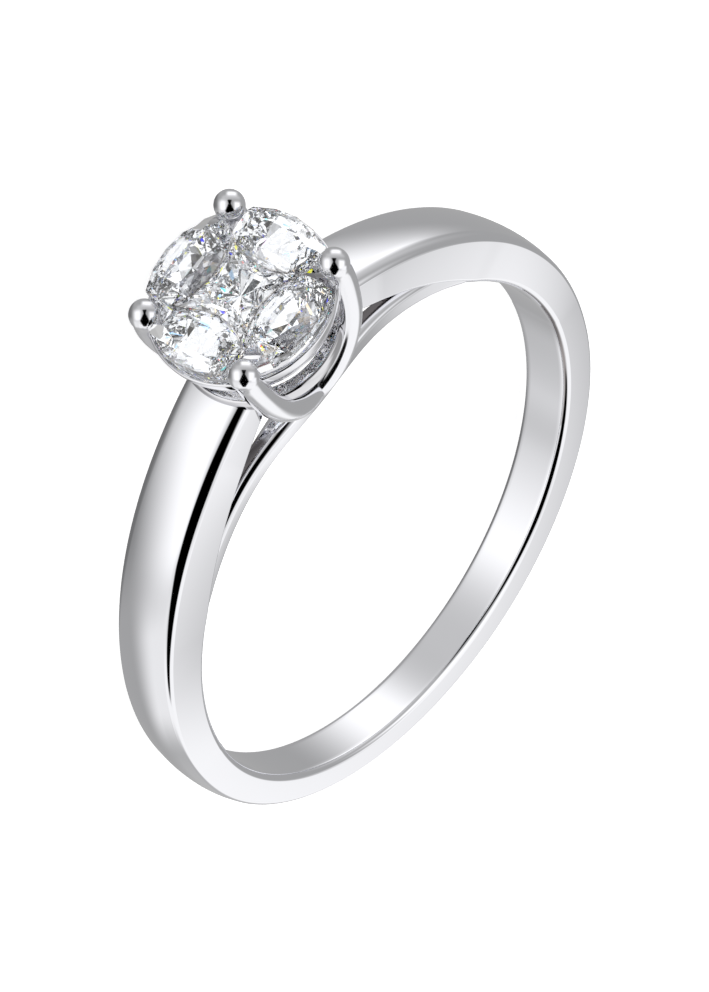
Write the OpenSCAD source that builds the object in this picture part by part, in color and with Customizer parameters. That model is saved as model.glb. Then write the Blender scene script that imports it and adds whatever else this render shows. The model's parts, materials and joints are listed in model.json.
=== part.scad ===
/* [Finger band] */
// Inside diameter of the finger hole, mm
bore_d = 16.7; // [16:0.1:18]
// Metal from the bore to the outer edge of the band, mm
band_thick = 1.07; // [1:0.01:1.2]
// Rise of the rounded outer face over its edges, mm
dome = 0.14; // [0.1:0.01:0.2]
// Half width of the band level with the finger axis, mm
half_w = 0.93; // [0.85:0.01:1.1]
// Slope of each side face towards the head
side_slope = 0.02; // [0.01:0.002:0.03]
// Softened edge outside, taken off the side faces, mm
edge_cut = 0.05; // [0.03:0.01:0.1]
// Softened edge in the bore, mm
bore_cut = 0.12; // [0.08:0.01:0.18]

/* [Shoulders] */
// How much the radius of a rising shoulder is over the band's, mm
shoulder_more = 1.8; // [1.7:0.02:2]
// Shoulder arc's centre past the finger axis, mm
shoulder_side = 1.78; // [1.6:0.02:1.9]
// Shoulder arc's centre over the finger axis, mm
shoulder_up = 0.74; // [0.6:0.02:0.9]
// Angle from the head where a shoulder arc starts, inside the band, degrees
leave_angle = 112; // [108:1:116]
// Angle from the head where a shoulder arc ends, degrees
end_angle = 12; // [10:1:13]
// How much the radius of a shoulder's underside is over the bore's, mm
under_more = 6.68; // [6.6:0.01:6.75]
// Underside centre past the finger axis, mm
under_side = 6.5; // [6.4:0.01:6.55]
// Underside centre below the finger axis, mm
under_drop = 2.36; // [2.3:0.01:2.45]

/* [Rails under the head] */
// Height of the two rails over the bore, mm
rail_thick = 0.85; // [0.75:0.05:0.95]
// How far the rails sit in from the side faces, mm
rail_inset = 0.05; // [0.03:0.01:0.1]
// Half width of the open slot between the rails, mm
slot_half_w = 0.58; // [0.5:0.02:0.66]
// Half length of the slot, mm
slot_half_l = 3.7; // [3.3:0.1:3.9]

/* [Head] */
// Tip bead centre over the top of the bore, mm
tip_h = 5.46; // [5.4:0.01:5.6]
// Tip bead centre to the side, mm
tip_t = 2.09; // [2.05:0.01:2.15]
// Tip bead centre along the finger axis, mm
tip_a = 2; // [1.96:0.01:2.06]
// Tip bead radius, mm
tip_r = 0.46; // [0.42:0.01:0.5]
// Prong wire radius, mm
wire_r = 0.38; // [0.34:0.01:0.41]
// Radius of the bend at the foot of each prong wire, mm
bend_r = 1.8; // [1.76:0.02:1.86]
// Height of the bend's centre over the top of the bore, mm
bend_h = 2.6; // [2.54:0.02:2.7]
// Bend centre along the finger axis, mm
bend_a = 1.88; // [1.84:0.02:1.92]
// Lean of the bend towards the rail, degrees
bend_lean = 19; // [17:1:21]
// Seat collar: outside radius at its top, mm
collar_r = 2.82; // [2.78:0.01:2.86]
// Seat collar: top over the top of the bore, mm
collar_up = 4.99; // [4.95:0.01:5.03]
// Seat collar: height, mm
collar_h = 1.04; // [0.98:0.02:1.1]
// Seat collar: how much narrower its foot is, mm
collar_taper = 0.27; // [0.22:0.01:0.32]
// Seat collar: wall at its top, mm
collar_lip = 0.14; // [0.12:0.01:0.16]
// Seat collar: wall at its foot, mm
collar_foot = 0.49; // [0.44:0.01:0.54]
// Lower gallery ring: outside radius, mm
gallery_r = 2.42; // [2.36:0.01:2.48]
// Lower gallery ring: wall, mm
gallery_wall = 0.46; // [0.42:0.01:0.5]
// Lower gallery ring: middle over the top of the bore, mm
gallery_up = 2.98; // [2.93:0.01:3.03]
// Lower gallery ring: height, mm
gallery_h = 0.46; // [0.42:0.02:0.52]

/* [Stones] */
// Radius of the cluster at the girdle, mm
girdle_r = 2.72; // [2.7:0.01:2.76]
// Girdle top over the top of the bore, mm
girdle_up = 5.17; // [5.15:0.01:5.22]
// Girdle thickness, mm
girdle_t = 0.08; // [0.05:0.01:0.1]
// Crown height, mm
crown_h = 0.36; // [0.3:0.01:0.42]
// Pavilion depth under the girdle, mm
pavilion_h = 1.02; // [0.9:0.01:1.1]
// Table, as a share of the stone
table_share = 0.58; // [0.5:0.01:0.66]
// Width where the pavilion's two steps meet, as a share of the stone
step_share = 0.62; // [0.55:0.01:0.7]
// Radius of the curved seam round the centre stone, mm
seam_r = 2.4; // [2.38:0.01:2.42]
// Distance of the seam's centre from the middle, mm
seam_c = 3.35; // [3.33:0.01:3.37]
// Half of the gap between neighbouring stones, mm
half_gap = 0.03; // [0.02:0.005:0.04]

/* [Hidden] */
// Radii and heights over the finger axis, from the finger hole
bore_r = bore_d / 2;
band_r = bore_r + band_thick;
rail_r = bore_r + rail_thick;
shoulder_r = band_r + shoulder_more;
under_r = bore_r + under_more;
tip_u = bore_r + tip_h;
bend_u = bore_r + bend_h;
collar_u = bore_r + collar_up;
gallery_u = bore_r + gallery_up;
girdle_u = bore_r + girdle_up;
column_r = gallery_r - gallery_wall;

// Half width under the head, where the dome has its full rise
slope_deg = atan(side_slope);
wide = half_w + side_slope * gallery_u;
dome_r = (wide * wide + dome * dome) / (2 * dome);

// The ring at rest lies on the collar's edge and on the back of the band
back_r = band_r - edge_cut;
back_w = half_w - side_slope * back_r;
tilt = atan((collar_r - back_w) / (collar_u + back_r));
lift = collar_r * cos(tilt) - collar_u * sin(tilt);
head_y = tip_u * cos(tilt) + tip_a * sin(tilt) + tip_r;
back_y = (band_r + dome - dome_r) * cos(tilt) + dome_r;
mid_y = (head_y - back_y) / 2;

// Room around what the cutting shapes cut
reach = 16;
through = 3;
rough_depth = 3.7;
rough_w = wide + 0.45;
cone_h = 5;
cone_over = 0.2;
cone_in = 0.5;
slot_deep = 2;
column_floor = 0.5;
column_h = 5;

// Turns the bore's seam away from those of the cones at its edges
bore_turn = 17;

// Smallest width of a pavilion, and its depth where the two steps meet
culet_share = 0.1;
step_depth = 0.52;
// Middle of an outer stone, and the room round a tip bead in it
outer_mid = (girdle_r + seam_c - seam_r) / 2;
notch = 0.07;
// Facets along a girdle arc, a seam and a side of the centre stone
girdle_n = 10;
seam_n = 8;
side_n = 6;

ring_fn = 240;
wire_fn = 48;
bead_fn = 64;
$fn = 96;

// Turns the working axes (x side, y head, z finger) into the resting ring
module rest() {
    translate([0, mid_y, lift]) rotate([-tilt, 0, 0]) rotate([0, 0, 180]) children();
}

// Section of the band, rounded outside, that reaches radius r at its edges
module section(r) {
    inner = r - rough_depth;
    intersection() {
        translate([inner, -rough_w]) square([rough_depth + dome * 2, rough_w * 2]);
        translate([r + dome - dome_r, 0]) circle(r = dome_r, $fn = ring_fn);
    }
}

// Tapered slab between the two side faces, taken in by inset
module slab(inset) {
    back = half_w - inset - side_slope * reach;
    front = half_w - inset + side_slope * reach;
    translate([-reach, 0, 0]) rotate([90, 0, 90]) linear_extrude(reach * 2)
        polygon([[-reach, -back], [reach, -front], [reach, front], [-reach, back]]);
}

// Cones that take the outer edges off a ring of radius r about the centre t, u
module edges(t, u, r) {
    w = half_w + side_slope * u;
    rim = r - edge_cut;
    intersection() {
        translate([t, u, w]) rotate([slope_deg, 0, 0]) translate([0, 0, -cone_h])
            cylinder(h = cone_h + cone_over, r1 = rim + cone_h, r2 = rim - cone_over, $fn = ring_fn);
        translate([t, u, -w]) rotate([-slope_deg, 0, 0]) translate([0, 0, -cone_over])
            cylinder(h = cone_h + cone_over, r1 = rim - cone_over, r2 = rim + cone_h, $fn = ring_fn);
    }
}

// Plain band, all the way round
module band_ring() {
    intersection() {
        rotate_extrude($fn = ring_fn) section(band_r);
        edges(0, 0, band_r);
    }
}

// One shoulder, rising from the side of the band to the head
module shoulder_arc() {
    intersection() {
        translate([-shoulder_side, shoulder_up, 0]) rotate([0, 0, 90 - leave_angle])
            rotate_extrude(angle = leave_angle - end_angle, $fn = ring_fn) section(shoulder_r);
        edges(-shoulder_side, shoulder_up, shoulder_r);
    }
}

// Side view of the room between the two shoulder undersides
module under() {
    intersection() {
        translate([-under_side, -under_drop]) circle(r = under_r, $fn = ring_fn);
        translate([under_side, -under_drop]) circle(r = under_r, $fn = ring_fn);
        translate([-bore_r, bore_r / 3]) square([bore_r * 2, reach]);
    }
}

// Through windows under the shoulders, over the rails
module windows() {
    translate([0, 0, -through]) linear_extrude(through * 2) difference() {
        under();
        circle(r = rail_r, $fn = ring_fn);
    }
}

// Thin layers off both sides of the rails
module rail_sides() {
    difference() {
        translate([0, 0, -through]) linear_extrude(through * 2) under();
        slab(rail_inset);
    }
}

// Cone that softens the bore's edge, on the side s
module bore_edge(s) {
    past = cone_in - 0.1;
    translate([0, 0, s * half_w]) rotate([s * slope_deg, 0, 0]) rotate([90 - 90 * s, 0, 0])
        translate([0, 0, -bore_cut - cone_in])
            cylinder(h = cone_in + bore_cut + past, r1 = bore_r - cone_in,
                r2 = bore_r + bore_cut + past, $fn = ring_fn);
}

// Finger hole with its softened edges
module bore() {
    rotate([0, 0, bore_turn]) cylinder(h = reach / 2, r = bore_r, center = true, $fn = ring_fn);
    bore_edge(1);
    bore_edge(-1);
}

module shank() {
    difference() {
        intersection() {
            slab(0);
            union() {
                band_ring();
                shoulder_arc();
                mirror([1, 0, 0]) shoulder_arc();
            }
        }
        windows();
        rail_sides();
        rotate([-90, 0, 0]) translate([0, 0, rail_r + column_floor])
            cylinder(h = column_h, r = column_r);
        translate([-slot_half_l, bore_r - slot_deep, -slot_half_w])
            cube([slot_half_l * 2, slot_deep * 2, slot_half_w * 2]);
        bore();
    }
}

// Round rod from p to q
module rod(p, q, r) {
    d = q - p;
    l = norm(d);
    translate(p) rotate([0, acos(d[2] / l), atan2(d[1], d[0])])
        cylinder(h = l, r = r, $fn = wire_fn);
}

// One prong wire with two tips, bent round over the rail
module prong_pair() {
    for (s = [-1, 1]) {
        foot = [s * bend_r, bend_u, bend_a];
        tip = [s * tip_t, tip_u, tip_a];
        rod(foot, tip, wire_r);
        translate(foot) sphere(r = wire_r + 0.01, $fn = wire_fn);
        translate(tip) sphere(r = tip_r, $fn = bead_fn);
    }
    translate([0, bend_u, bend_a]) rotate([bend_lean, 0, 0]) rotate([0, 0, 180])
        rotate_extrude(angle = 180) translate([bend_r, 0]) circle(r = wire_r, $fn = wire_fn);
}

// Turned rings of the head, about the head's own axis
module head_rings() {
    foot_r = collar_r - collar_taper;
    rotate([-90, 0, 0]) {
        translate([0, 0, collar_u - collar_h]) difference() {
            cylinder(h = collar_h, r1 = foot_r, r2 = collar_r);
            translate([0, 0, -0.01]) cylinder(h = collar_h + 0.02,
                r1 = foot_r - collar_foot, r2 = collar_r - collar_lip);
        }
        translate([0, 0, gallery_u - gallery_h / 2]) difference() {
            cylinder(h = gallery_h, r = gallery_r);
            translate([0, 0, -1]) cylinder(h = gallery_h + 2, r = column_r);
        }
    }
}

module ring_mount() {
    color([0.86, 0.86, 0.87]) rest() union() {
        shank();
        prong_pair();
        mirror([0, 0, 1]) prong_pair();
        head_rings();
    }
}

// Outline of an outer stone: girdle arc, then the seam arc back
function outer_outline() =
    let (g = half_gap, c = seam_c, q = seam_r - g, e = g * sqrt(2),
        b = 45 - asin(g / girdle_r),
        x = ((c + e) - sqrt((c + e) * (c + e) - 2 * (c * c + e * e - q * q))) / 2,
        y = atan2(x - e, c - x))
    concat(
        [for (i = [0:girdle_n]) let (a = -b + 2 * b * i / girdle_n)
            girdle_r * [cos(a), sin(a)]],
        [for (i = [0:seam_n]) let (a = y - 2 * y * i / seam_n)
            [c - q * cos(a), q * sin(a)]]);

// Outline of the centre stone: four hollow sides between four points
function centre_outline() =
    let (c = seam_c, q = seam_r + half_gap, x = (c - sqrt(2 * q * q - c * c)) / 2,
        y = atan2(x, c - x))
    [for (k = [0:3]) for (i = [0:side_n - 1])
        let (a = -y + 2 * y * i / side_n, p = c - q * cos(a), r = q * sin(a), w = 90 * k)
        [p * cos(w) - r * sin(w), p * sin(w) + r * cos(w)]];

// Cut stone round the point m: table, crown, girdle and two steps of pavilion
module stone(line, m) {
    n = len(line);
    base = girdle_u - girdle_t;
    sizes = [culet_share, step_share, 1, 1, table_share];
    levels = [base - pavilion_h, base - pavilion_h * step_depth, base, girdle_u,
        girdle_u + crown_h];
    points = [for (k = [0:4]) for (p = line)
        let (f = m + sizes[k] * (p - m)) [f[0], levels[k], -f[1]]];
    sides = [for (k = [0:3]) for (i = [0:n - 1])
        let (j = (i + 1) % n) [k * n + i, k * n + n + i, k * n + n + j, k * n + j]];
    culet = [for (i = [0:n - 1]) i];
    table = [for (i = [n - 1:-1:0]) 4 * n + i];
    polyhedron(points, concat(sides, [culet, table]), convexity = 6);
}

module outer_stone(k) {
    color([0.93, 0.95, 0.98]) rest() rotate([0, 90 * k, 0]) difference() {
        stone(outer_outline(), [outer_mid, 0]);
        for (s = [-1, 1]) translate([tip_t, gallery_u, s * tip_a]) rotate([-90, 0, 0])
            cylinder(h = column_h, r = tip_r + notch, $fn = wire_fn);
    }
}

module centre_stone() {
    color([0.93, 0.95, 0.98]) rest() stone(centre_outline(), [0, 0]);
}

module outer_stone_1() { outer_stone(0); }
module outer_stone_2() { outer_stone(1); }
module outer_stone_3() { outer_stone(2); }
module outer_stone_4() { outer_stone(3); }

ring_mount();
centre_stone();
outer_stone_1();
outer_stone_2();
outer_stone_3();
outer_stone_4();
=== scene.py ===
import json
import math

import bmesh
import bpy
from mathutils import Matrix, Vector


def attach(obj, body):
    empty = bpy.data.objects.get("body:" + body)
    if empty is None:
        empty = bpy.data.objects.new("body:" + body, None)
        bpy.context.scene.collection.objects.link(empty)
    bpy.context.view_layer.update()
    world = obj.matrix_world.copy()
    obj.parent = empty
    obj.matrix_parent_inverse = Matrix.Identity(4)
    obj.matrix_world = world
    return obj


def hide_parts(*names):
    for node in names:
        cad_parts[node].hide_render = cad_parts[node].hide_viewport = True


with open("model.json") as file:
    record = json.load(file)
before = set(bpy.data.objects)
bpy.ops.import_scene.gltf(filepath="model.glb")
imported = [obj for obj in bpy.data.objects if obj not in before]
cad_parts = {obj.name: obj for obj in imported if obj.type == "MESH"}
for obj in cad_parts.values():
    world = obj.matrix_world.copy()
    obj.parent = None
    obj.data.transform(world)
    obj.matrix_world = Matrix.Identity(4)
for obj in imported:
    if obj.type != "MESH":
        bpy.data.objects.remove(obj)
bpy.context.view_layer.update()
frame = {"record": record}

# Lengths below are in millimetres about the finger axis: x to the side, -y to the head, z along the finger
mm = 0.001
slack = 0.001  # how far off a place may be where vertices are picked by it
hair = 0.0001
fingerBore = frame["record"]["mounts"][0]
boreRadius = fingerBore["dims"]["r_mm"]
boreAxis = Vector(fingerBore["axis"])
ringTilt = math.atan2(boreAxis.y, boreAxis.z)
ringPlace = (
    Matrix.Translation(fingerBore["pos_m"]) @ Matrix.Rotation(-ringTilt, 4, "X") @ Matrix.Scale(mm, 4)
)

ringForm = {
    "bandOuter": boreRadius + 1.07,  # radius of the outer edge at the back
    "halfWidth": 0.93,
    "sideSlope": 0.02,  # the sides open out towards the head
    "shoulderRadius": 11.72,
    "shoulderAside": 2.18,
    "shoulderUp": 0.4,
    "underRadius": 15.03,
    "underAside": 6.5,
    "underDrop": 2.36,
    "underBlend": 0.04,
    "boreNarrow": 0.16,  # how much narrower the bore's edge is than the outer crease, near the head
    "narrowReach": 1.5,  # gone this far out from the bore
    "narrowFull": 5,  # and full this far towards the head
    "leaveAngle": 100,  # degrees from the head where a shoulder leaves the band
    "lean": 0.13,  # out by this at 45 and -135 degrees from the head, in at -45 and 135
}


class Signal:
    # A socket that can stand in plain arithmetic
    def __init__(self, board, socket):
        self.board = board
        self.socket = socket

    def math(self, operation, *others):
        return self.board.node("Math", {"operation": operation}, dict(enumerate((self, *others))))

    def __add__(self, other):
        return self.math("ADD", other)

    def __sub__(self, other):
        return self.math("SUBTRACT", other)

    def __mul__(self, other):
        return self.math("MULTIPLY", other)

    def __truediv__(self, other):
        return self.math("DIVIDE", other)

    def __pow__(self, other):
        return self.math("POWER", other)

    def __radd__(self, other):
        return self + other

    def __rmul__(self, other):
        return self * other

    def __rsub__(self, other):
        return self * -1 + other

    def __abs__(self):
        return self.math("ABSOLUTE")

    def atLeast(self, other):
        return self.math("MAXIMUM", other)

    def rise(self, low, high):
        # 0 below low, 1 over high, smooth between; low and high may be signals too
        span = {"Value": self, "From Min": low, "From Max": high}
        return self.board.node("MapRange", {"interpolation_type": "SMOOTHSTEP"}, span)

    def towards(self, level, share):
        # Mixed with a level, by a share from 0 to 1
        return self + (level - self) * share


class Board:
    # A node tree whose nodes are all made here
    def __init__(self, owner):
        owner.use_nodes = True
        self.tree = owner.node_tree

    def node(self, kind, settings=None, inputs=None, output=0):
        made = self.tree.nodes.new("ShaderNode" + kind)
        for name, value in (settings or {}).items():
            setattr(made, name, value)
        self.feed(made, inputs or {})
        return Signal(self, made.outputs[output])

    def feed(self, made, inputs):
        for name, value in inputs.items():
            if isinstance(value, Signal):
                self.tree.links.new(value.socket, made.inputs[name])
            else:
                made.inputs[name].default_value = value

    def along(self, vector, axis):
        return self.node("VectorMath", {"operation": "DOT_PRODUCT"}, {0: vector, 1: tuple(axis)}, "Value")


def deselect():
    bpy.ops.object.select_all(action="DESELECT")


def openForEdit(piece):
    deselect()
    piece.select_set(True)
    bpy.context.view_layer.objects.active = piece
    bpy.ops.object.mode_set(mode="EDIT")


def closeEdit():
    bpy.ops.object.mode_set(mode="OBJECT")


def pick(piece, rule):
    # Selects the vertices that a rule on their place says, and what lies between them
    bpy.ops.mesh.select_mode(type="VERT")
    bpy.ops.mesh.select_all(action="DESELECT")
    mesh = bmesh.from_edit_mesh(piece.data)
    for vertex in mesh.verts:
        vertex.select = bool(rule(vertex.co))
    mesh.select_flush(True)
    bmesh.update_edit_mesh(piece.data)


def move(piece, rule):
    # Moves every vertex to where a rule on its place says
    for vertex in piece.data.vertices:
        vertex.co = rule(vertex.co)
    piece.data.update()


def applyPlace(piece):
    deselect()
    piece.select_set(True)
    bpy.context.view_layer.objects.active = piece
    bpy.ops.object.transform_apply(location=True, rotation=True, scale=True)


def modify(piece, kind, **settings):
    modifier = piece.modifiers.new(kind.lower(), kind)
    for name, value in settings.items():
        setattr(modifier, name, value)
    deselect()
    piece.select_set(True)
    bpy.context.view_layer.objects.active = piece
    bpy.ops.object.modifier_apply(modifier=modifier.name)


def polish(piece):
    # Smooth shading that keeps flat faces flat
    for face in piece.data.polygons:
        face.use_smooth = True
    modify(piece, "WEIGHTED_NORMAL", mode="FACE_AREA_WITH_ANGLE", weight=50)


def markPaintedShade(piece, rule):
    # Painted shade: the mark says how much darker the metal's colour is made at each vertex
    recess = piece.data.attributes.new("recess", "FLOAT", "POINT")
    for vertex, mark in zip(piece.data.vertices, recess.data):
        mark.value = rule(vertex.co)


def settle(piece, material):
    # From millimetres about the finger axis to the ring's place on the floor
    piece.matrix_world = ringPlace
    applyPlace(piece)
    piece.data.materials.clear()
    piece.data.materials.append(material)
    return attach(piece, "root")


def arcRadius(angle, radius, aside, up):
    # From the finger axis to an arc whose centre lies past the axis, at an angle from the head
    along = up * math.cos(angle) - aside * math.sin(abs(angle))
    return along + math.sqrt(radius ** 2 - aside ** 2 - up ** 2 + along ** 2)


def outerEdge(angle):
    leave = math.radians(ringForm["leaveAngle"])
    start = min(abs(angle), leave)
    radius = arcRadius(start, ringForm["shoulderRadius"], ringForm["shoulderAside"], ringForm["shoulderUp"])
    past = max(0, abs(angle) - start) / (math.pi - leave)
    radius += (ringForm["bandOuter"] - radius) * past * past * (3 - 2 * past)
    return radius + ringForm["lean"] * math.sin(2 * angle)


def underside(angle):
    under = arcRadius(angle, ringForm["underRadius"], ringForm["underAside"], -ringForm["underDrop"])
    lift = under - boreRadius if abs(angle) < math.pi / 2 else -1
    return boreRadius + (lift + math.sqrt(lift ** 2 + ringForm["underBlend"] ** 2)) / 2


def sideAt(headward):
    return ringForm["halfWidth"] + ringForm["sideSlope"] * headward


def sweptBar(name, size):
    # A rounded section, drawn flat at one end of the sweep and spun about the finger axis
    deselect()
    start = size["sweep"] / 2
    middle = (size["inner"] + size["outer"]) / 2
    thick = size["outer"] - size["inner"]
    bpy.ops.mesh.primitive_plane_add(
        size=1,
        location=(-middle * math.sin(start), middle * math.cos(start), 0),
        rotation=(0, math.pi / 2, start),
    )
    bar = bpy.context.object
    bar.name = bar.data.name = name
    bar.scale = (2 * size["halfWidth"], thick, 1)
    bpy.ops.object.transform_apply(location=False, rotation=False, scale=True)
    openForEdit(bar)
    pick(bar, lambda p: p.y < 0)
    bpy.ops.mesh.bevel(offset=size["boreRound"], segments=size["roundCuts"], affect="VERTICES")
    pick(bar, lambda p: p.y > thick / 2 - slack)
    bpy.ops.mesh.bevel(offset=size["edgeRound"], segments=size["roundCuts"], affect="VERTICES")
    for side in (-1, 1):
        pick(bar, lambda p: p.y * side > thick / 2 - slack)
        bpy.ops.mesh.subdivide(number_cuts=size["faceCuts"])
    bpy.ops.mesh.select_all(action="SELECT")
    bpy.ops.mesh.delete(type="ONLY_FACE")
    bpy.ops.mesh.select_all(action="SELECT")
    bpy.ops.mesh.spin(steps=size["steps"], angle=size["sweep"], center=(0, 0, 0), axis=(0, 0, 1))
    closeEdit()
    applyPlace(bar)
    return bar


def bendBar(bar, size, lower, upper, halfWidthAt, dome):
    # Lifts the inner and outer faces of a swept bar to their own radii, and its sides to their own width
    low = size["inner"] + size["boreRound"]
    high = size["outer"] - size["edgeRound"]
    thick = size["outer"] - size["inner"]

    def bent(p):
        radius = math.hypot(p.x, p.y)
        angle = math.atan2(p.x, -p.y)
        side = math.copysign(1, p.z)
        inwards, under = size["halfWidth"] - abs(p.z), size["outer"] - radius
        if max(inwards, under) < size["edgeRound"] + hair:
            # The outer edge is crisper towards the back
            backward = min(1, max(0, (math.degrees(abs(angle)) - size["crispFrom"]) / size["crispSpan"]))
            kept = 1 - size["crispness"] * backward
            radius = size["outer"] - under * kept
            p = Vector((p.x, p.y, side * (size["halfWidth"] - inwards * kept)))
        share = min(1, max(0, (radius - low) / (high - low)))
        lift = (1 - share) * (lower(angle) - size["inner"]) + share * (upper(angle) - size["outer"])
        across = abs(p.z) / size["halfWidth"]
        crown = dome * (1 - across * across) if radius > high else 0
        reach = radius + lift + crown
        headward = (radius + lift) * math.cos(angle)
        outward = min(1, max(0, (radius + lift - boreRadius) / ringForm["narrowReach"]))
        narrow = ringForm["boreNarrow"] * min(1, max(0, headward / ringForm["narrowFull"])) * (1 - outward)
        full = 2 * (radius - size["inner"]) / thick - 1
        swell = size["sideSwell"] * (upper(angle) - lower(angle)) * (1 - full * full) * across
        width = halfWidthAt(headward) - narrow + swell
        return Vector((reach * math.sin(angle), -reach * math.cos(angle), p.z * width / size["halfWidth"]))

    move(bar, bent)


def closeEnds(bar):
    openForEdit(bar)
    bpy.ops.mesh.select_all(action="SELECT")
    bpy.ops.mesh.remove_doubles(threshold=slack / 2)
    bpy.ops.mesh.select_all(action="DESELECT")
    bpy.ops.mesh.select_mode(type="EDGE")
    bpy.ops.mesh.select_non_manifold(
        extend=False, use_wire=False, use_multi_face=False, use_non_contiguous=False
    )
    if bar.data.total_edge_sel:
        bpy.ops.mesh.fill_holes(sides=0)
    bpy.ops.mesh.select_all(action="SELECT")
    bpy.ops.mesh.normals_make_consistent(inside=False)
    closeEdit()


shankSize = {
    "inner": boreRadius,
    "outer": ringForm["bandOuter"],
    "halfWidth": ringForm["halfWidth"],
    "boreRound": 0.21,
    "edgeRound": 0.3,
    "roundCuts": 6,
    "faceCuts": 13,
    "dome": 0.14,
    "sideSwell": 0.03,  # how far the sides stand out, as a share of their height
    "crispFrom": 20,  # degrees from the head, and the degrees over which the outer edge turns crisp
    "crispSpan": 60,
    "crispness": 0.68,
    "sweep": math.radians(342),
    "steps": 320,
    "armEnd": 1.85,  # where each shoulder ends, just inside the gallery ring
    "lineDegrees": (58, 122),  # of the painted dark reflection line on the bore's rim, from the head
    "lineDepth": 0.1,
    "lineWidth": 0.14,
}


def paintedRimLine(p):
    # A painted dark reflection line along the bore's near rim, on the right
    size = shankSize
    inBore = math.hypot(p.x, p.y) < boreRadius + size["lineDepth"]
    atSide = p.z > sideAt(-p.y) - size["lineWidth"]
    start, end = size["lineDegrees"]
    return 1 if inBore and atSide and start < math.degrees(math.atan2(-p.x, -p.y)) < end else 0


def makeShank():
    shank = sweptBar("shank", shankSize)
    bendBar(shank, shankSize, underside, outerEdge, sideAt, shankSize["dome"])
    openForEdit(shank)
    for side in (-1, 1):
        pick(shank, lambda p: p.x * side > 0 and p.y < 0)
        end = (side * shankSize["armEnd"], 0, 0)
        bpy.ops.mesh.bisect(plane_co=end, plane_no=(side, 0, 0), clear_inner=True, use_fill=True)
    closeEdit()
    closeEnds(shank)
    # A painted dark reflection line on the bore's near rim
    markPaintedShade(shank, paintedRimLine)
    polish(shank)
    return shank


railSize = {
    "inner": boreRadius,
    "outer": boreRadius + 0.85,
    "halfWidth": ringForm["halfWidth"],
    "boreRound": 0.21,
    "edgeRound": 0.28,
    "roundCuts": 7,
    "faceCuts": 9,
    "inset": 0.015,
    "dive": (45, 53, 0.16),  # the inner face sinks into the shoulder between these degrees from the head
    "sideSwell": 0.03,
    "crispFrom": 20,
    "crispSpan": 60,
    "crispness": 0,
    "slotHalfWidth": 0.58,
    "slotHalfLength": 3.7,
    "slotDepth": 4,  # of the cut, well past both faces
    "footSwell": 0.36,  # as a share of the rails' width
    "footReach": 2.3,
    # Painted shade on the rails' top face: how deep into the face, and from how far aside
    "recessDepth": 0.02,
    "recessFrom": 2.1,  # to the side of the head's middle
    "sweep": math.radians(106),
    "steps": 120,
}


def makeRails():
    rails = sweptBar("rails", railSize)
    move(rails, lambda p: Vector((-p.x, -p.y, p.z)))  # from the back round to the head
    size = railSize
    start, end, depth = size["dive"]

    def innerFace(angle):
        part = min(1, max(0, (math.degrees(abs(angle)) - start) / (end - start)))
        return size["inner"] + depth * part * part

    bendBar(rails, size, innerFace, lambda a: size["outer"], lambda u: sideAt(u) - size["inset"], 0)

    def footed(p):
        # The rails swell sideways where the prong wires are soldered on
        reach = p.x / size["footReach"]
        swell = 1 + size["footSwell"] * math.exp(-reach * reach)
        return Vector((p.x, p.y, p.z * swell))

    move(rails, footed)
    closeEnds(rails)
    # The slot: a box with its outline, taken away
    deselect()
    bpy.ops.mesh.primitive_cube_add(size=1, location=(0, -boreRadius, 0))
    cutter = bpy.context.object
    cutter.scale = (2 * size["slotHalfLength"], size["slotDepth"], 2 * size["slotHalfWidth"])
    applyPlace(cutter)
    modify(rails, "BOOLEAN", operation="DIFFERENCE", object=cutter, solver="EXACT")
    bpy.data.objects.remove(cutter)
    # Painted shade: the rails' top face is darker out to the sides of the head
    face, aside = size["outer"] - size["recessDepth"], size["recessFrom"]
    markPaintedShade(rails, lambda p: 1 if math.hypot(p.x, p.y) > face and abs(p.x) > aside else 0)
    polish(rails)
    return rails


headSize = {
    "collarTop": 4.93,  # heights over the top of the bore
    "collarHeight": 0.86,
    "collarRadius": 2.87,
    "collarTaper": 0.3,
    "collarLip": 0.13,
    "collarFoot": 0.45,
    "galleryMiddle": 2.98,
    "galleryHeight": 0.46,
    "galleryRadius": 2.42,
    "galleryWall": 0.42,
    "round": 0.06,
    "roundCuts": 4,
    "faceCuts": 5,
    "bulge": 0.05,  # how far the outer faces stand out at mid height
    "dullness": {"seat_collar": (0.12, 0.08), "gallery_ring": (0.6, 0.3)},  # painted shade on the inner and outer faces
    "steps": 160,
}


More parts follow.
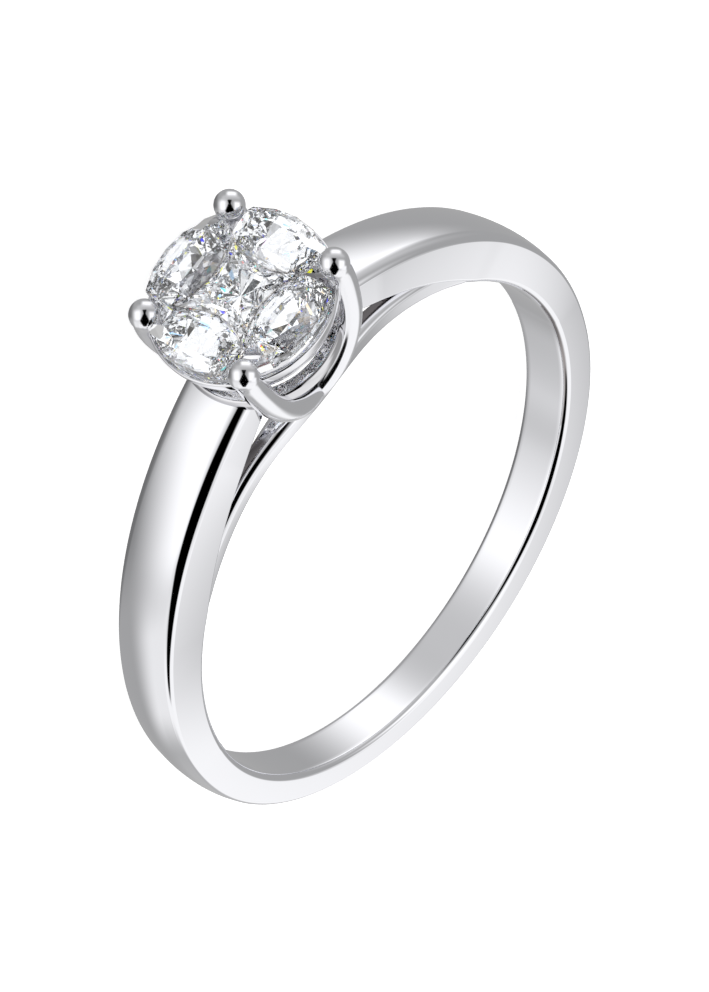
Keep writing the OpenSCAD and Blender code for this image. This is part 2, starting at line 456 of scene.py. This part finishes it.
def turnedRing(name, corners, rounding, size):
    # A wall section with softened corners, turned about the head's axis
    deselect()
    bpy.ops.mesh.primitive_plane_add(size=1)
    ring = bpy.context.object
    ring.name = ring.data.name = name
    for vertex, corner in zip(ring.data.vertices, corners):
        vertex.co = (corner[0], -boreRadius - corner[1], 0)
    openForEdit(ring)
    bpy.ops.mesh.select_all(action="SELECT")
    bpy.ops.mesh.bevel(offset=rounding, segments=size["roundCuts"], affect="VERTICES")
    bpy.ops.mesh.select_all(action="SELECT")
    bpy.ops.mesh.delete(type="ONLY_FACE")
    outer = sorted(corner[0] for corner in corners)[-2] - rounding
    levels = [-boreRadius - corner[1] for corner in corners]
    middle, half = (max(levels) + min(levels)) / 2, (max(levels) - min(levels)) / 2
    bpy.ops.mesh.select_all(action="SELECT")
    bpy.ops.mesh.subdivide(number_cuts=size["faceCuts"])
    mesh = bmesh.from_edit_mesh(ring.data)
    for vertex in mesh.verts:
        off = (vertex.co.y - middle) / half
        if vertex.co.x > outer:
            vertex.co.x += size["bulge"] * (1 - off * off)
    bmesh.update_edit_mesh(ring.data)
    bpy.ops.mesh.select_all(action="SELECT")
    bpy.ops.mesh.spin(steps=size["steps"], angle=2 * math.pi, center=(0, 0, 0), axis=(0, 1, 0))
    closeEdit()
    closeEnds(ring)
    # Painted shade: the inner and outer faces are darkened by their own shares
    within, outside = size["dullness"][name]
    markPaintedShade(ring, lambda p: within if math.hypot(p.x, p.z) < outer - rounding else outside)
    polish(ring)
    return ring


def makeHeadRings():
    size = headSize
    top, low = size["collarTop"], size["collarTop"] - size["collarHeight"]
    outer, foot = size["collarRadius"], size["collarRadius"] - size["collarTaper"]
    collarCorners = [
        (foot - size["collarFoot"], low),
        (foot, low),
        (outer - size["collarLip"], top),
        (outer, top),
    ]
    base = size["galleryMiddle"] - size["galleryHeight"] / 2
    rim = base + size["galleryHeight"]
    wall, face = size["galleryRadius"] - size["galleryWall"], size["galleryRadius"]
    galleryCorners = [(wall, base), (face, base), (wall, rim), (face, rim)]
    return (
        turnedRing("seat_collar", collarCorners, size["round"], size),
        turnedRing("gallery_ring", galleryCorners, size["round"], size),
    )


prongSize = {
    # side, height over the bore, along the finger and wire radius, from a tip down into the rail
    "path": [
        (2.09, 5.46, 2.0, 0.4),
        (2.1, 4.9, 2.05, 0.4),
        (1.99, 4.2, 2.06, 0.41),
        (1.81, 3.4, 2.01, 0.42),
        (1.51, 2.6, 1.89, 0.42),
        (1.07, 1.88, 1.7, 0.43),
        (0.58, 1.28, 1.44, 0.45),
        (0.12, 0.86, 1.15, 0.46),
        (-0.3, 0.6, 0.82, 0.42),
    ],
    "farLeftTip": (-0.07, -0.12),  # how far this tip is bent in, to the side and along the finger
    "bendFrom": 4.1,  # height where that bend starts
    "tipRadius": 0.48,
    "tipRings": 9,
    "tipTurn": 122,  # degrees from the bead's top to where it runs into the wire
    "neck": 0.07,  # from there to the wire's first ring
    "ringsPerPoint": 7,
    "around": 8,  # bevel resolution of the round wire
    "pointRadius": 0.002,  # of the bead's first ring, which then merges to a point
    "merge": 0.004,
}


def smoothPath(points, perPoint):
    # A smooth curve through the points, as rows of place and radius
    rows = [Vector(p) for p in points]
    ends = [2 * rows[0] - rows[1]] + rows + [2 * rows[-1] - rows[-2]]
    path = []
    for i in range(1, len(ends) - 2):
        a, b, c, d = ends[i - 1 : i + 3]
        for k in range(perPoint):
            t = k / perPoint
            square, cube = 2 * a - 5 * b + 4 * c - d, 3 * b - a - 3 * c + d
            path.append(0.5 * (2 * b + (c - a) * t + square * t * t + cube * t ** 3))
    return path + [rows[-1]]


def wireFromPath(name, path, around):
    deselect()
    bpy.ops.curve.primitive_bezier_curve_add()
    wire = bpy.context.object
    wire.name = wire.data.name = name
    wire.data.splines.clear()
    spline = wire.data.splines.new("POLY")
    spline.points.add(len(path) - 1)
    for point, row in zip(spline.points, path):
        point.co = (row[0], row[1], row[2], 1)
        point.radius = row[3]
    wire.data.bevel_depth = 1
    wire.data.bevel_resolution = around
    wire.data.use_fill_caps = True
    bpy.ops.object.convert(target="MESH")
    return bpy.context.object


def makeProng(name, aside, along):
    # One leg: a round bead, then a thinner wire that runs down into the rail
    size = prongSize
    bend = size["farLeftTip"] if aside > 0 > along else (0, 0)
    bent = size["path"][0][1] - size["bendFrom"]
    rows = []
    for t, height, a, radius in size["path"]:
        part = max(0, height - size["bendFrom"]) / bent
        t, a = t + bend[0] * part, a + bend[1] * part
        rows.append((aside * t, -boreRadius - height, along * a, radius))
    path = smoothPath(rows, size["ringsPerPoint"])
    centre = Vector(path[0][:3])
    down = (Vector(path[4][:3]) - centre).normalized()
    rings = []
    for k in range(size["tipRings"]):
        turn = math.radians(size["tipTurn"]) * k / (size["tipRings"] - 1)
        place = centre - down * size["tipRadius"] * math.cos(turn)
        rings.append((*place, max(size["pointRadius"], size["tipRadius"] * math.sin(turn))))
    reach = size["neck"] - size["tipRadius"] * math.cos(math.radians(size["tipTurn"]))
    body = [tuple(p) for p in path if (Vector(p[:3]) - centre).length > reach]
    prong = wireFromPath(name, rings + body, size["around"])
    openForEdit(prong)
    bpy.ops.mesh.select_all(action="SELECT")
    bpy.ops.mesh.remove_doubles(threshold=size["merge"])
    bpy.ops.mesh.normals_make_consistent(inside=False)
    closeEdit()
    modify(prong, "SUBSURF", levels=1, render_levels=1)
    polish(prong)
    return prong


stoneSize = {
    "girdleTop": 5.4,
    "girdleThick": 0.3,
    "clusterRadius": 2.78,
    "seamRadius": 2.4,
    "seamCentre": 3.35,
    "halfGap": 0.02,
    "outerPoints": 12,
    "centrePoints": 16,
    "crownHeight": 0.24,
    "depth": 1.0,
    "keelReach": 0.6,
    "starDeeper": 0.1,
    "starKeelReach": 0.02,
    "merge": 0.004,
}


def leafOutline(share):
    # Outline of an outer stone by share of the way round: the girdle arc out, the seam arc back
    size = stoneSize
    gap, centre, radius = size["halfGap"], size["seamCentre"], size["clusterRadius"]
    seam = size["seamRadius"] - gap
    offset = gap * math.sqrt(2)
    reach = math.pi / 4 - math.asin(gap / radius)
    total = centre + offset
    corner = (total - math.sqrt(total * total - 2 * (centre * centre + offset * offset - seam * seam))) / 2
    bend = math.atan2(corner - offset, centre - corner)
    share %= 1
    if share < 0.5:
        turn = reach * (4 * share - 1)
        return radius * math.cos(turn), radius * math.sin(turn)
    turn = bend * (1 - 4 * (share - 0.5))
    return centre - seam * math.cos(turn), seam * math.sin(turn)


def starOutline(share):
    # Outline of the centre stone: four hollow sides
    size = stoneSize
    seam = size["seamRadius"] + size["halfGap"]
    centre = size["seamCentre"]
    corner = (centre - math.sqrt(2 * seam * seam - centre * centre)) / 2
    bend = math.atan2(corner, centre - corner)
    quarter, part = divmod((share % 1) * 4, 1)
    turn = bend * (2 * part - 1)
    across, along = centre - seam * math.cos(turn), seam * math.sin(turn)
    way = quarter * math.pi / 2
    return across * math.cos(way) - along * math.sin(way), across * math.sin(way) + along * math.cos(way)


def cutStone(name, outline, count, middle, rings, keel):
    # Rings of corners extruded from the table down; a paired ring joins its corners two by two
    deselect()
    bpy.ops.mesh.primitive_circle_add(vertices=count, radius=1, fill_type="NGON")
    stone = bpy.context.object
    stone.name = stone.data.name = name
    openForEdit(stone)
    bpy.ops.mesh.select_all(action="SELECT")
    for k, (level, across, along, shift, paired) in enumerate(rings):
        if k:
            bpy.ops.mesh.extrude_region_move()
        mesh = bmesh.from_edit_mesh(stone.data)
        mesh.verts.ensure_lookup_table()
        fresh = [v for v in mesh.verts if v.select]
        fresh.sort(key=lambda v: v.index)
        for i, vertex in enumerate(fresh):
            place = (i // 2 * 2 + 0.5 if paired else i) + shift
            p, q = outline(place / count)
            vertex.co = (middle + across * (p - middle), -boreRadius - level, along * q)
        bmesh.update_edit_mesh(stone.data)
    low, reach = keel
    mesh = bmesh.from_edit_mesh(stone.data)
    for vertex in [v for v in mesh.verts if v.select]:
        vertex.co = (middle, -boreRadius - low, max(-reach, min(reach, vertex.co.z)))
    bmesh.update_edit_mesh(stone.data)
    bpy.ops.mesh.select_all(action="SELECT")
    bpy.ops.mesh.remove_doubles(threshold=stoneSize["merge"])
    bpy.ops.mesh.select_all(action="SELECT")
    bpy.ops.mesh.dissolve_degenerate(threshold=stoneSize["merge"] / 2)
    bpy.ops.mesh.select_all(action="SELECT")
    bpy.ops.mesh.quads_convert_to_tris(quad_method="SHORTEST_DIAGONAL", ngon_method="BEAUTY")
    bpy.ops.mesh.select_all(action="SELECT")
    bpy.ops.mesh.normals_make_consistent(inside=False)
    closeEdit()
    # The girdle's top ring, where the stone material paints shade for the seams between stones
    rim = stone.data.attributes.new("rim", "FLOAT", "POINT")
    for vertex, mark in zip(stone.data.vertices, rim.data):
        mark.value = 1 if abs(-boreRadius - vertex.co.y - stoneSize["girdleTop"]) < slack else 0
    return stone


def stoneRings(top, base):
    # Level, share across, share along, turn in facets and pairing, from the table to the last ring
    return [
        (top, 0.56, 0.6, 0, True),
        (top - 0.12, 0.8, 0.84, 0.5, False),
        (base + stoneSize["girdleThick"], 1, 1, 0, False),
        (base, 1, 1, 0, False),
        (base - 0.45, 0.6, 0.8, 0, False),
        (base - 0.85, 0.2, 0.5, 0.5, True),
    ]


def makeStones():
    size = stoneSize
    base = size["girdleTop"] - size["girdleThick"]
    top = size["girdleTop"] + size["crownHeight"]
    rings = stoneRings(top, base)
    reach = (size["clusterRadius"] + size["seamCentre"] - size["seamRadius"]) / 2
    keel = (base - size["depth"], size["keelReach"])
    first = cutStone("leaf_stone_1", leafOutline, size["outerPoints"], reach, rings, keel)
    stones = [first]
    for k in range(1, 4):
        deselect()
        first.select_set(True)
        bpy.context.view_layer.objects.active = first
        bpy.ops.object.duplicate()
        stone = bpy.context.object
        stone.name = stone.data.name = f"leaf_stone_{k + 1}"
        stone.rotation_euler.y = k * math.pi / 2
        applyPlace(stone)
        stones.append(stone)
    keel = (base - size["depth"] - size["starDeeper"], size["starKeelReach"])
    stones.append(cutStone("star_stone", starOutline, size["centrePoints"], 0, rings, keel))
    return stones


metalLook = {
    "color": (0.843, 0.845, 0.872, 1),
    "roughness": 0.035,
    "wireRoughness": 0.1,
    "roughnessSpread": 0.03,
    "grain": 900,  # polish pattern per metre
    # the colour of painted shade and of a painted dark reflection line
    "recessColor": (0.3, 0.28, 0.28, 1),
}


def makeMetal(name, roughness):
    look = metalLook
    metal = bpy.data.materials.new(name)
    board = Board(metal)
    place = board.node("TexCoord", output="Object")
    cloud = board.node("TexNoise", None, {"Vector": place, "Scale": look["grain"], "Detail": 3})
    # Painted shade: the metal's colour turns darker where the mark says
    recess = board.node("Attribute", {"attribute_name": "recess"}, None, "Fac")
    colors = {0: recess, 6: look["color"], 7: look["recessColor"]}
    color = board.node("Mix", {"data_type": "RGBA"}, colors, 2)
    shader = metal.node_tree.nodes["Principled BSDF"]
    shader.inputs["Metallic"].default_value = 1
    gloss = roughness + (cloud - 0.5) * look["roughnessSpread"]
    board.feed(shader, {"Base Color": color, "Roughness": gloss})
    return metal


polishedMetal = makeMetal("white_gold", metalLook["roughness"])
wireMetal = makeMetal("white_gold_wire", metalLook["wireRoughness"])
shank = settle(makeShank(), polishedMetal)
print("shank", len(shank.data.polygons))
rails = settle(makeRails(), polishedMetal)
print("rails", len(rails.data.polygons))
for ring in makeHeadRings():
    settle(ring, polishedMetal)
    print(ring.name, len(ring.data.polygons))
for number, (aside, along) in enumerate(((1, 1), (1, -1), (-1, -1), (-1, 1)), 1):
    prong = settle(makeProng(f"prong_{number}", aside, along), wireMetal)
    print(prong.name, len(prong.data.polygons))
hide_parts("ring_mount")

stoneLook = {
    "refraction": 2.42,
    "clear": (0.95, 0.97, 1, 1),
    "rimColor": (0.2, 0.17, 0.15, 1),
    "rimFrom": 0.72,
    "haze": 0.01,
    "hazeGrain": 1500,
}


def makeStoneMaterial():
    # Clear stone with painted shade along its girdle edge, so that neighbours part in a thin dark line
    look = stoneLook
    made = bpy.data.materials.new("cut_stone")
    board = Board(made)
    rim = board.node("Attribute", {"attribute_name": "rim"}, None, "Fac")
    edge = rim.rise(look["rimFrom"], 0.99)
    color = board.node("Mix", {"data_type": "RGBA"}, {0: edge, 6: look["clear"], 7: look["rimColor"]}, 2)
    place = board.node("TexCoord", output="Object")
    cloud = board.node("TexNoise", None, {"Vector": place, "Scale": look["hazeGrain"], "Detail": 2})
    shader = made.node_tree.nodes["Principled BSDF"]
    shader.inputs["Transmission Weight"].default_value = 1
    shader.inputs["IOR"].default_value = look["refraction"]
    board.feed(shader, {"Base Color": color, "Roughness": cloud * look["haze"]})
    return made


clearStone = makeStoneMaterial()
for stone in makeStones():
    settle(stone, clearStone)
    number = stone.name[-1]
    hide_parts(f"outer_stone_{number}" if number.isdigit() else "centre_stone")
    print(stone.name, len(stone.data.polygons))

cameraView = {
    "azimuth": 16.778,
    "elevation": 34.843,
    "roll": 118.669,
    "distance": 160,
    "aim": (-0.2894, 1.8949, 0.981),
    "lens": 190.171,
    "sensor": 36,
    "clip": (0.01, 10),
}


def makeCamera(view):
    azimuth, elevation, roll = (math.radians(view[k]) for k in ("azimuth", "elevation", "roll"))
    level = math.cos(elevation)
    back = Vector((math.sin(azimuth) * level, -math.cos(azimuth) * level, math.sin(elevation)))
    bpy.ops.object.camera_add()
    camera = bpy.context.object
    turn = (-back).to_track_quat("-Z", "Y").to_matrix() @ Matrix.Rotation(roll, 3, "Z")
    spot = (Vector(view["aim"]) + back * view["distance"]) * mm
    camera.matrix_world = Matrix.Translation(spot) @ turn.to_4x4()
    camera.data.lens = view["lens"]
    camera.data.sensor_width = view["sensor"]
    camera.data.sensor_fit = "AUTO"
    camera.data.clip_start, camera.data.clip_end = view["clip"]
    bpy.context.scene.camera = camera
    bpy.context.view_layer.update()
    return camera


camera = makeCamera(cameraView)

# The studio as the metal mirrors it: directions in degrees from the photo's camera, to the right and up.
# A panel is its left, right, low and high edge, how soft the edges are and how bright it is in the print.
studioLook = {
    "room": 0.63,
    "panels": [
        (-200, -100, -28, 118, 22, 0.44),
        (-80, 200, -170, -115, 22, 0.7),
        (-60, 84, 40, 70, 20, 0.77),
        (-79, -20, -52, 32, 24, 1.05),
        (-89, -25, -110, -50, 14, 0.92),
        (-44, 70, -112, -74, 10, 0.97),
        (36, 84, -48, 20, 14, 1.04),
        (60, 104, -60, -22, 10, 1.0),
        (28, 114, -125, -52, 16, 0.98),
        (-20, 58, 68, 110, 18, 1.06),
    ],
    "dark": {
        "middle": 4,
        "neck": 7,
        "neckAt": 4,
        "widen": 0.52,
        "span": 104,  # degrees below the neck where it would come to a point
        "head": 0.3,
        "top": 31,
        "foot": -93,
        "soft": 5,
        "footSoft": 5,
        "topSoft": 4,
    },
    "printPower": 2.2,  # from tones in the print to light
    "strength": 1.14,
    "stoneStrength": 1.8,  # light that comes out through the stones
    "stoneFloor": 0.5,
    "stoneScale": 5,  # dark things in the room that only the stones pick up
    "stoneDark": (0.58, 0.6, 0.92),  # where these start and are full, and how dark they are
    "stoneContrast": 1.6,
    "patchWeights": (0.4, 0.35, 0.25),
    "bounces": 16,
    "fire": (-0.011, -0.004, 0.011),  # how far red, green and blue part on their way out of a stone
    "fireWay": (0.7, 0.5, -0.5),
    "blueFlash": (0.4, 0.2, 0),  # how much red, green and blue a few bluish things in the room lack
    "warmFlash": (0, 0.12, 0.3),
    "flashFrom": (0.88, 0.9),
}


def studioTone(board, way, look, axes):
    right, up, back = (board.along(way, axis) for axis in axes)
    angle = back.math("ARCCOSINE") * (180 / math.pi)
    spread = (right ** 2 + up ** 2) ** 0.5
    scale = angle / spread.atLeast(0.0001)
    across, high = right * scale, up * scale
    light = across * 0 + look["room"]
    for left, farRight, low, top, soft, level in look["panels"]:
        inside = across.rise(left - soft, left + soft) * (1 - across.rise(farRight - soft, farRight + soft))
        inside = inside * high.rise(low - soft, low + soft) * (1 - high.rise(top - soft, top + soft))
        light = light.towards(level, inside)
    key = look["dark"]
    below = (key["neckAt"] - high).atLeast(0)
    below = below.math("MINIMUM", key["span"] - below).atLeast(0) * key["widen"]
    above = (high - key["neckAt"]).atLeast(0) * key["head"]
    reach = key["neck"] + below + above
    off = abs(across - key["middle"])
    inside = 1 - off.rise(reach - key["soft"], reach + key["soft"])
    inside = inside * high.rise(key["foot"] - key["footSoft"], key["foot"] + key["footSoft"])
    inside = inside * (1 - high.rise(key["top"] - key["topSoft"], key["top"] + key["topSoft"]))
    return light.towards(0, inside)


def stoneTone(board, way, look, tone, number):
    # What one colour finds on its way out of a stone: the studio with crisp dark and tinted things in it
    shift = tuple(part * look["fire"][number] for part in look["fireWay"])
    moved = board.node("VectorMath", {"operation": "ADD"}, {0: way, 1: shift})
    patch = board.node("TexVoronoi", None, {"Vector": moved, "Scale": look["stoneScale"]}, "Color")
    chance = board.along(patch, look["patchWeights"])
    low, high, depth = look["stoneDark"]
    light = (tone * (1 - look["stoneFloor"]) + look["stoneFloor"]) * (1 - chance.rise(low, high) * depth)
    for weights, lack in (((1, 0, 0), look["blueFlash"]), ((0, 1, 0), look["warmFlash"])):
        light = light * (1 - board.along(patch, weights).rise(*look["flashFrom"]) * lack[number])
    return light ** look["stoneContrast"] * look["stoneStrength"]


def makeStudio(look, axes):
    world = bpy.data.worlds.new("studio")
    bpy.context.scene.world = world
    board = Board(world)
    way = board.node("TexCoord", output="Generated")
    tone = studioTone(board, way, look, axes)
    grey = tone ** look["printPower"]
    metalLight = board.node("CombineColor", None, {0: grey, 1: grey, 2: grey})
    channels = {number: stoneTone(board, way, look, tone, number) for number in range(3)}
    stoneLight = board.node("CombineColor", None, channels)
    plain = board.node("Background", None, {"Color": metalLight, "Strength": look["strength"]})
    sparkling = board.node("Background", None, {"Color": stoneLight, "Strength": look["strength"]})
    inStone = board.node("LightPath", output="Is Transmission Ray")
    both = board.node("MixShader", None, {0: inStone, 1: plain, 2: sparkling})
    board.feed(world.node_tree.nodes["World Output"], {"Surface": both})
    world.cycles.sampling_method = "NONE"
    paths = bpy.context.scene.cycles
    paths.max_bounces = look["bounces"]
    paths.glossy_bounces = look["bounces"]  # light is thrown about many times inside a cut stone
    paths.transmission_bounces = look["bounces"]


turn = camera.matrix_world.to_3x3()
makeStudio(studioLook, (turn.col[0], turn.col[1], turn.col[2]))

floorLook = {"size": 2, "color": (0.9, 0.9, 0.9, 1), "glow": (1, 1, 1, 1), "glowStrength": 0.75}


def makeFloor(look):
    # White paper, bright enough to print white, which the metal doesn't mirror
    deselect()
    bpy.ops.mesh.primitive_plane_add(size=look["size"])
    floor = bpy.context.object
    floor.name = floor.data.name = "floor"
    paper = bpy.data.materials.new("white_paper")
    board = Board(paper)
    shader = paper.node_tree.nodes["Principled BSDF"]
    shader.inputs["Roughness"].default_value = 1
    shader.inputs["Emission Strength"].default_value = look["glowStrength"]
    board.feed(shader, {"Base Color": look["color"], "Emission Color": look["glow"]})
    floor.data.materials.append(paper)
    floor.visible_glossy = False


makeFloor(floorLook)
bpy.context.scene.view_settings.view_transform = "Standard"
print("studio and floor")
